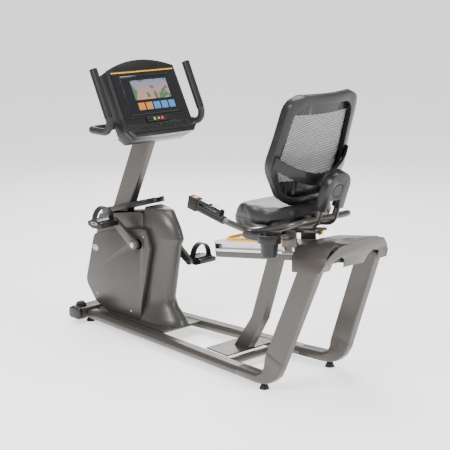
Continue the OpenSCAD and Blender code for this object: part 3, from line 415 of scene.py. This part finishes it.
def disc(base, middle, radius, depth, name, body, slot, axis="X", squash=1.0, material=None, sides=48):
    bpy.ops.object.select_all(action="DESELECT")
    bpy.ops.mesh.primitive_cylinder_add(vertices=sides, radius=radius, depth=depth)
    obj = bpy.context.object
    front_faces(obj, (0, 0, 1))
    bpy.ops.mesh.inset(thickness=DISC_ROLL, depth=DISC_ROLL / 2)
    bpy.ops.mesh.inset(thickness=radius * DISC_RIM, depth=0)
    bpy.ops.mesh.inset(thickness=DISC_GROOVE, depth=-DISC_PRESS)
    leave_edit()
    flatten = Matrix.Diagonal((squash, 1, 1, 1))
    obj.matrix_world = base @ Matrix.Translation(middle) @ FACING[axis] @ flatten
    return finish_piece(obj, name, body, (material or FINISHES[slot]).material)


# %% [markdown]
# ## Rolled edges
# Solids leave edges that are perfectly sharp and curves made of flats. Moulded shells, castings and
# bent tubes have rolled edges that catch a line of light, so each visible one is copied, its flats
# are merged, and a narrow bevel rolls every sharp edge. A tube has no sharp edge but its ends, so it
# is only merged and shaded smooth. The copy stands in for its solid.

# %% Rolled copies
FLAT = 0.5                  # faces that meet at less than this are one flat
ROLLED = {                  # node: (width of the rolled edge, angle above which an edge is rolled)
    "left_casing": (.0050, 35), "right_casing": (.0050, 35), "casing_top": (.0060, 35),
    "casing_spine": (.0050, 50), "corner_castings": (.0020, 50), "console_bezel": (.0025, 35),
    "console_back": (.0050, 35), "mast_tray": (.0015, 35), "backrest_frame": (.0050, 40),
    "backrest_shroud": (.0045, 35), "backrest_yoke": (.0035, 50), "hoop_cover": (.0010, 40),
    "front_deck": (.0020, 35), "left_seat_grip": (.0045, 40), "right_seat_grip": (.0045, 40),
    "cup_holder": (.0025, 35), "left_pedal": (.0015, 35), "right_pedal": (.0015, 35),
    "left_crank": (.0020, 35), "right_crank": (.0020, 35), "console_handlebar": (0, 60),
    "seat_handlebar": (0, 60), "backrest_tubes": (0, 60), "stabiliser_caps": (.0040, 35),
    "left_strap": (.0008, 50), "right_strap": (.0008, 50), "seat_carriage": (.0012, 35),
    "levelling_feet": (.0010, 40),
}
for node, (width, sharp) in ROLLED.items():
    rolled = copy_of(node)
    enter_edit(rolled)
    bpy.ops.mesh.dissolve_limited(angle_limit=radians(FLAT))
    leave_edit()
    if width:
        edge = rolled.modifiers.new("roll", "BEVEL")
        edge.width, edge.segments = width, 2
        edge.angle_limit, edge.use_clamp_overlap = radians(sharp), True
        apply_all(rolled)
    slot = SLOT_OF[node]
    finish_piece(rolled, node + "_rolled", BODY_OF[node], FINISHES[slot].material, sharp)
    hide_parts(node)

# %% [markdown]
# ## Seat pad
# The pad is foam under stretched vinyl, so its top crowns and its edges roll. A copy of its solid is
# remeshed, drawn in a little, and blown up by cloth pressure. No point may move further than a cap,
# and a last smoothing takes out the small wrinkles that the pressure leaves.

# %% Seat pad, even and soft
VOXEL = 0.006
SMOOTHING, SOFTEN_TURNS, ROUND_TURNS = 0.6, 22, 14


def smooth(obj, name, turns):
    relax = obj.modifiers.new(name, "SMOOTH")
    relax.factor, relax.iterations = SMOOTHING, turns
    apply_all(obj)


pad = copy_of("seat_cushion")
remesh = pad.modifiers.new("even", "REMESH")
remesh.mode, remesh.voxel_size = "VOXEL", VOXEL
smooth(pad, "soften", SOFTEN_TURNS)
print("pad before the pressure", len(pad.data.vertices), "points")

# %% [markdown]
# ## Pressure in the pad
# The cloth runs for a few frames without gravity, and its last shape is read back.

# %% Seat pad, blown up
SWELL = 0.009                           # the furthest that any point may move
PRESSURE, LAST_FRAME = 4, 20
STILL = 1e-9                            # keeps the division safe where a point didn't move
flat = [vertex.co.copy() for vertex in pad.data.vertices]
cloth = pad.modifiers.new("blow", "CLOTH")
cloth.settings.use_pressure = True
cloth.settings.uniform_pressure_force = PRESSURE
cloth.settings.effector_weights.gravity = 0
cloth.point_cache.frame_start, cloth.point_cache.frame_end = 1, LAST_FRAME
for frame_number in range(1, LAST_FRAME + 1):
    bpy.context.scene.frame_set(frame_number)
blown = pad.evaluated_get(bpy.context.evaluated_depsgraph_get())
swollen = [vertex.co.copy() for vertex in blown.data.vertices]
pad.modifiers.clear()
for vertex, before, after in zip(pad.data.vertices, flat, swollen):
    move = after - before
    vertex.co = before + move * min(1.0, SWELL / max(move.length, STILL))
bpy.context.scene.frame_set(1)
smooth(pad, "round", ROUND_TURNS)
finish_piece(pad, "seat_pad", "seat", vinyl.material, ROUND_EDGE)
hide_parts("seat_cushion")


# %% [markdown]
# ## Piping
# A cord of vinyl runs round the pad where top and sides meet. Cutting a copy of the pad with a plane
# and keeping only the cut gives its line, which is then given a round section.

# %% Piping
PIPING_SLOPE = 0.03                     # the piping rises slightly towards the front


def piping(height, radius, name):
    line = bpy.data.objects.new(name, pad.data.copy())
    bpy.context.scene.collection.objects.link(line)
    normal = SEAT.to_3x3() @ Vector((PIPING_SLOPE, 0, 1))
    cut(line, SEAT @ Vector((0, 0, height)), normal, fill=False, inner=True, outer=True)
    pick(line)
    bpy.ops.object.convert(target="CURVE")
    line = bpy.context.object
    line.data.bevel_depth = radius
    line.data.bevel_resolution = 2
    bpy.ops.object.convert(target="MESH")
    return finish_piece(bpy.context.object, name, "seat", vinyl.material, ROUND_EDGE)


piping(0.197, 0.0022, "seat_piping")
piping(0.225, 0.0012, "seat_seam")


# %% [markdown]
# ## Backrest bands
# A padded band crosses the top of the mesh, and another closes its foot. Each is an end of the
# mesh's own sheet, cut off and given some thickness, so it follows the same bow.

# %% Backrest bands
def backrest_end(name, height, above, thickness):
    band = copy_of("backrest_mesh")
    level = BACK.to_3x3() @ Vector((0, 0, 1))
    cut(band, BACK @ Vector((0, 0, height)), level, inner=above, outer=not above)
    thick = band.modifiers.new("thick", "SOLIDIFY")
    thick.thickness, thick.offset = thickness, 1
    apply_all(band)
    finish_piece(band, name, "seat", FINISHES["dark_plastic"].material)


backrest_end("backrest_band", 0.408, True, 0.004)
backrest_end("backrest_foot_band", 0.100, False, 0.003)

# %% [markdown]
# ## The picture on the display
# The lit picture is a sheet of plain tiles: a dark margin, a wide landscape panel and a row of small
# cards. It is drawn by comparing coordinates that run from 0 to 1 over the glass, and glows a little.

# %% Lit picture
DISPLAY_HALF, DISPLAY_LOW, DISPLAY_HIGH = 0.142, 0.012, 0.196
DISPLAY_TALL = DISPLAY_HIGH - DISPLAY_LOW
CARDS, GLOW = 6, 0.35
HUES, BLUE_FROM = 5, 2.4    # the row of cards in fifths, and where it turns from orange to blue
LEAVES = 0.52               # of the noise, above which green leaves hide the sky
screen = Finish("lit_display")
from_left = screen.y * (0.5 / DISPLAY_HALF) + 0.5
up_face = ((screen.z - FACE.translation.z) * cos(FACE_LEAN)
           - (screen.x - FACE.translation.x) * sin(FACE_LEAN) - DISPLAY_LOW)
from_low = up_face * (1 / DISPLAY_TALL)
sky = screen.mix(from_low, (.42, .17, .02), (.07, .13, .22))
picture = screen.mix(screen.noise(16) > LEAVES, sky, (.05, .09, .05))
panel = from_low.within(0.36, 0.90) * from_left.within(0.16, 0.95)
card = (from_left * CARDS).wrap(1.0).within(0.08, 0.92)
cards = from_low.within(0.08, 0.28) * card * from_left.within(0.17, 0.98)
tiles = screen.mix((from_left * HUES).wrap(HUES) > BLUE_FROM, (.36, .14, .03), (.05, .14, .30))
colour = screen.mix(cards, screen.mix(panel, (.006, .007, .009), picture), tiles)
screen.put("Base Color", colour)
screen.put("Emission Color", colour)
screen.put("Emission Strength", GLOW)
screen.put("Roughness", screen.wear(.10, .16))
print("display", 2 * DISPLAY_HALF, "by", round(DISPLAY_TALL, 4))

# %% [markdown]
# ## Glass, surround and stripe
# The picture is a thin plate set in a slightly larger black one, so that a dark margin frames it. A
# bright stripe crosses the console above them.

# %% Display plates
SURROUND = 0.014            # by which the black plate is wider and taller
display_mid = (DISPLAY_LOW + DISPLAY_HIGH) / 2
plate(FACE, (0.0012, 0, display_mid), (0.002, 2 * DISPLAY_HALF, DISPLAY_TALL), "console_display",
      "frame", "screen_glass", 0.0006, 0.0004, 0.0025, material=screen)
plate(FACE, (0.0005, 0, display_mid), (0.0024, 2 * DISPLAY_HALF + SURROUND, DISPLAY_TALL + SURROUND),
      "display_surround", "frame", "screen_glass", 0.001, 0.0004, 0.006)
plate(FACE, (0.0014, 0, 0.2215), (0.0026, 0.386, 0.0055), "yellow_stripe", "frame", "yellow_paint",
      0.0008, 0.0003, 0.0012)

# %% [markdown]
# ## Keys
# Below the glass a small keypad stands proud. Its keys are six-sided discs: two dark ones at each
# end, and a bright one between the green and the red key, which are solids already.

# %% Keys
KEY_UP, KEY_OUT, KEY_SIDES = -0.023, 0.0078, 6
for i, y in enumerate((-0.058, -0.041, 0.041, 0.058)):
    disc(FACE, (KEY_OUT, y, KEY_UP), 0.0050, 0.0024, f"soft_key_{i + 1}", "frame", "dark_plastic",
         sides=KEY_SIDES)
plate(FACE, (0.0050, 0, -0.024), (0.0036, 0.132, 0.024), "keypad_plate", "frame", "black_paint",
      0.0012, 0.0005, 0.002)
disc(FACE, (KEY_OUT, 0, KEY_UP), 0.0054, 0.0026, "soft_key_centre", "frame", "yellow_paint",
     sides=KEY_SIDES)

# %% [markdown]
# ## Ribbed shelf
# Under the keypad a ribbed ledge holds a book or phone. One slanted rib is modelled and copied along
# the ledge, the ribs are joined, and four cuts trim their ends to the ledge's edges.

# %% Shelf ribs
RIB_COUNT, RIB_FIRST, RIB_STEP, RIB_UP = 25, -0.186, 0.0155, -0.062
RIB_SLANT = Matrix.Rotation(radians(38), 4, "X")
TRIMS = (((0, 0.196, 0), (0, 1, 0)), ((0, -0.196, 0), (0, -1, 0)),      # a point, the side cut off
         ((0, 0, -0.040), (0, 0, 1)), ((0, 0, -0.078), (0, 0, -1)))
rib = rounded_block((0.003, 0.004, 0.075), 0.0012, 2)
ribs = [rib]
for i in range(RIB_COUNT - 1):
    twin = rib.copy()
    twin.data = rib.data.copy()
    bpy.context.scene.collection.objects.link(twin)
    ribs.append(twin)
for i, each in enumerate(ribs):
    each.matrix_world = FACE @ Matrix.Translation((0.0005, RIB_FIRST + i * RIB_STEP, RIB_UP)) @ RIB_SLANT
pick(rib)
for each in ribs:
    each.select_set(True)
bpy.ops.object.join()
shelf = bpy.context.object
pick(shelf)
bpy.ops.object.transform_apply(location=True, rotation=True, scale=True)
for point, side_off in TRIMS:
    cut(shelf, FACE @ Vector(point), FACE.to_3x3() @ Vector(side_off))
finish_piece(shelf, "shelf_ribs", "frame", FINISHES["dark_plastic"].material)

# %% [markdown]
# ## Fittings on the drive
# Bolt caps, strap buckles, treads and badges are what the eye stops at. They are discs and plates
# set against the box of the part that carries them, each a shade brighter than it.

# %% Fittings on the drive
TREAD_OUT = 0.045           # from the middle of a pedal to a tread, along the pedal
for side, s, outward in SIDES:
    crank_low, crank_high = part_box(side + "_crank")
    crank_out = crank_low.y if s < 0 else crank_high.y
    disc(WORLD, (CRANK.x, crank_out, CRANK.z), 0.013, 0.006, side + "_crank_bolt", "crank",
         "machined_steel", outward)
    low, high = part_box(side + "_pedal")
    mid = (low + high) / 2
    strap_low, strap_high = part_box(side + "_strap")
    strap_out = strap_low.y if s < 0 else strap_high.y
    plate(WORLD, (mid.x, strap_out - s * 0.0016, mid.z + 0.006), (0.044, 0.004, 0.014),
          side + "_strap_buckle", side + "_pedal", "machined_steel", 0.0012, 0.0008, 0.003,
          face=(0, s, 0))
    for j, along in enumerate((-TREAD_OUT, TREAD_OUT)):
        plate(WORLD, (mid.x + along, mid.y, low.z + 0.036), (0.006, 0.074, 0.003),
              f"{side}_tread_{j + 1}", side + "_pedal", "strap_rubber", 0.001, 0.0005, 0.0012,
              face=(0, 0, 1))
badge = surface("badge_grey", (.30, .30, .30), (.40, .40, .40), (.25, .35), .8)
for side, s, outward in SIDES:
    disc(WORLD, (CRANK.x - 0.335, s * 0.0895, CRANK.z - 0.075), 0.016, 0.003, side + "_casing_badge",
         "frame", "casing_plastic", outward, squash=1.5, material=badge)

# %% [markdown]
# ## Fittings on the seat
# A round cap closes the pivot on the backrest's shroud. Each seat grip has a ring round its button
# and two bright plates that read the pulse. The grips rise towards the front, so each gets a plane.

# %% Fittings on the seat
TUBE_LEAN = radians(27)
SHROUD_FOOT = Matrix.Translation((0.161, 0, 0.154))
SHROUD = SEAT @ SHROUD_FOOT @ Matrix.Rotation(TUBE_LEAN, 4, "Y") @ Matrix.Translation((0, 0, 0.076))
disc(SHROUD, (0.0175, 0, 0.092), 0.0275, 0.004, "shroud_cap", "seat", "dark_plastic")
orange = surface("orange_ring", (.75, .22, .02), (.85, .28, .03), (.35, .45))
for side, s, outward in SIDES:
    low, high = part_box(side + "_grip_button")
    grip_x = SEAT.to_3x3() @ Vector((-0.934, 0.03 * s, 0.3565))
    grip_z = SEAT.to_3x3() @ Vector((0.3562, 0, 0.9344))
    grip = plane((low + high) / 2, grip_x, grip_z)
    bpy.ops.object.select_all(action="DESELECT")
    bpy.ops.mesh.primitive_torus_add(major_radius=0.0125, minor_radius=0.0013, major_segments=40,
                                     minor_segments=8)
    ring = bpy.context.object
    ring.matrix_world = grip @ Matrix.Translation((0, 0, 0.0014))
    finish_piece(ring, side + "_button_ring", "seat", orange.material, ROUND_EDGE)
    for j, along in enumerate((-0.135, -0.065)):
        plate(grip, (along, 0, 0.0035), (0.052, 0.022, 0.0016), f"{side}_pulse_plate_{j + 1}", "seat",
              "machined_steel", 0.0006, 0.0003, 0.002, face=(0, 0, 1))

# %% [markdown]
# ## Rail lips and deck bolts
# The aluminium track has a thin bright lip along each side, and one bolt on each side holds the
# front deck down. Both lie flat, so they face straight up from their plane.

# %% Rail lips and deck bolts
for side, s, outward in SIDES:
    plate(RAIL, (0.4075, s * 0.0525, 0.0765), (0.812, 0.006, 0.002), side + "_rail_lip", "frame",
          "aluminium", 0.0008, 0.0004, 0.0012, face=(0, 0, 1))
    disc(WORLD, (CRANK.x + 0.19, s * 0.058, 0.0685), 0.006, 0.003, side + "_deck_bolt", "frame",
         "machined_steel", "Z", sides=6)

# %% [markdown]
# ## Casing details
# The spine carries two pairs of screws, and the deck carries a raised pad at the spine's foot.
# Each is a disc whose face is inset and pressed in.

# %% Casing details
for i, (x, z) in enumerate(((-0.3085, 0.330), (-0.270, 0.118))):
    for side, s, outward in SIDES:
        disc(WORLD, (x, s * 0.016, z), 0.0045, 0.004, f"spine_screw_{side}_{i + 1}", "frame",
             "machined_steel", sides=24)
disc(WORLD, (CRANK.x + 0.160, 0, 0.0690), 0.075, 0.004, "deck_pad", "frame", "frame_paint", "Z",
     squash=0.55)

# %% [markdown]
# ## Edges across the console
# A lip keeps a book on the shelf, and a thin edge crosses the console below the glass and above the
# stripe. They are three plates of one width or nearly so, from a short table.

# %% Shelf lip, chin and header edges
for name, at, size in (("shelf_lip", (0.027, 0, -0.083), (0.006, 0.400, 0.010)),
                       ("chin_edge", (0.0015, 0, -0.006), (0.004, 0.396, 0.005)),
                       ("header_edge", (0.0015, 0, 0.2275), (0.004, 0.396, 0.004))):
    plate(FACE, at, size, name, "frame", "dark_plastic", 0.0014, 0.0004, 0.0012)

# %% [markdown]
# ## Room
# A pale floor runs on past the view, and glows enough to look evenly white. It is stage, and not a
# piece of the bike.

# %% Room
FLOOR_WIDE, FLOOR_DROP, FLOOR_GLOW = 120, 0.0005, 1.1
bpy.ops.object.select_all(action="DESELECT")
bpy.ops.mesh.primitive_plane_add(size=FLOOR_WIDE, location=(0, 0, -FLOOR_DROP))
floor = bpy.context.object
floor.name = "floor"
pale = surface("pale_floor", (.86, .86, .86), (.90, .90, .90), (.55, .65), patch=0.5)
pale.put("Emission Color", (1.0, 1.0, 1.0))
pale.put("Emission Strength", FLOOR_GLOW)
floor.data.materials.append(pale.material)
print("floor", FLOOR_WIDE, "wide")


# %% [markdown]
# ## Lights
# Broad soft lights stand above the bike and round it, and a faint even light fills the shadows.

# %% Lights
def light(name, place, target, size, watts):
    data = bpy.data.lights.new(name, "AREA")
    data.size, data.energy = size, watts
    lamp = bpy.data.objects.new(name, data)
    lamp.location = place
    lamp.rotation_euler = (Vector(target) - Vector(place)).to_track_quat("-Z", "Y").to_euler()
    bpy.context.scene.collection.objects.link(lamp)
    print("light", name, watts, "W")


FILL = 0.45
light("key", (0.6, -3.6, 3.4), (0, 0, 0.5), 2.0, 230)
light("side", (4.4, 1.2, 2.4), (0.2, 0, 0.6), 1.8, 170)
light("top", (-0.6, 0.4, 4.2), (0, 0, 0.5), 2.6, 190)
light("back", (-3.2, 2.8, 2.6), (0, 0, 0.7), 2.2, 90)
world = bpy.data.worlds.new("studio")
world.use_nodes = True
world.node_tree.nodes["Background"].inputs[0].default_value = (1, 1, 1, 1)
world.node_tree.nodes["Background"].inputs[1].default_value = FILL
bpy.context.scene.world = world

# %% [markdown]
# ## Camera
# A long lens from a fair distance keeps the rails nearly parallel. It stands behind the seat, on the
# bike's left, and looks slightly down.

# %% Camera
CAMERA_DOWN, CAMERA_ROUND = 12.48, 46.04
camera_data = bpy.data.cameras.new("camera")
camera_data.lens, camera_data.sensor_width = 102.26, 36
camera = bpy.data.objects.new("camera", camera_data)
camera.location = (4.176, -3.979, 1.886)
camera.rotation_euler = (radians(90 - CAMERA_DOWN), 0, radians(CAMERA_ROUND))
bpy.context.scene.collection.objects.link(camera)
bpy.context.scene.camera = camera
print("camera at", tuple(round(v, 3) for v in camera.location))
